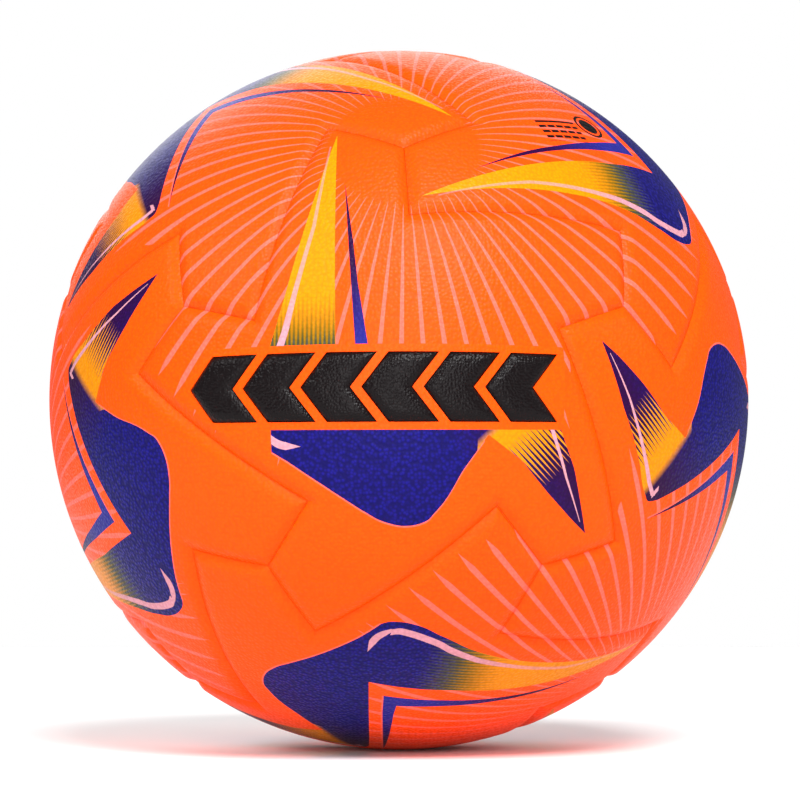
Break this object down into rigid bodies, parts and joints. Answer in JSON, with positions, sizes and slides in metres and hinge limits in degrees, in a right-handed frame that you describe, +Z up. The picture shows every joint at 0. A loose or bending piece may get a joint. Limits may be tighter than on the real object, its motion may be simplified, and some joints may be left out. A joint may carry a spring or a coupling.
{
  "type": "soccer ball",
  "caption": "Round inflatable ball with pinwheel cover panels over foam, a textile carcass and an air bladder with a needle valve.",
  "frame": {"origin": "the ball's centre", "axes": "+Z up; -Y out through the middle of the emblem panel; +Y out along the needle valve's axis"},
  "size_m": [0.2198, 0.2198, 0.2198],
  "materials": {
    "cover_skin": "satin moulded polyurethane with a fine pebble grain and a multicolour print",
    "foam": "closed-cell foam",
    "emblem": "raised black ink with a leather-like grain",
    "carcass_textile": "woven polyester laminate",
    "bladder_rubber": "smooth butyl rubber",
    "valve_rubber": "matt moulded rubber",
    "plug_rubber": "oiled rubber",
    "collar_foam": "dense foam"
  },
  "bodies": {
    "ball": {"cover_panel_01": "cover_skin", "cover_panel_02": "cover_skin", "cover_panel_03": "cover_skin", "cover_panel_04": "cover_skin", "cover_panel_05": "cover_skin", "cover_panel_06": "cover_skin", "cover_panel_07": "cover_skin", "cover_panel_08": "cover_skin", "cover_panel_09": "cover_skin", "cover_panel_10": "cover_skin", "cover_panel_11": "cover_skin", "cover_panel_12": "cover_skin", "foam_pad_01": "foam", "foam_pad_02": "foam", "foam_pad_03": "foam", "foam_pad_04": "foam", "foam_pad_05": "foam", "foam_pad_06": "foam", "foam_pad_07": "foam", "foam_pad_08": "foam", "foam_pad_09": "foam", "foam_pad_10": "foam", "foam_pad_11": "foam", "foam_pad_12": "foam", "emblem_chevron_1": "emblem", "emblem_chevron_2": "emblem", "emblem_chevron_3": "emblem", "emblem_chevron_4": "emblem", "emblem_chevron_5": "emblem", "emblem_chevron_6": "emblem", "carcass": "carcass_textile", "bladder": "bladder_rubber", "valve_housing": "valve_rubber", "valve_collar": "collar_foam", "balance_patch": "bladder_rubber"},
    "plug": {"valve_plug": "plug_rubber"}
  },
  "joints": [
    {"name": "valve_plug_slide", "type": "slide", "parent": "ball", "child": "plug", "axis": [0, 1, 0], "range_m": [0, 0.025]}
  ]
}
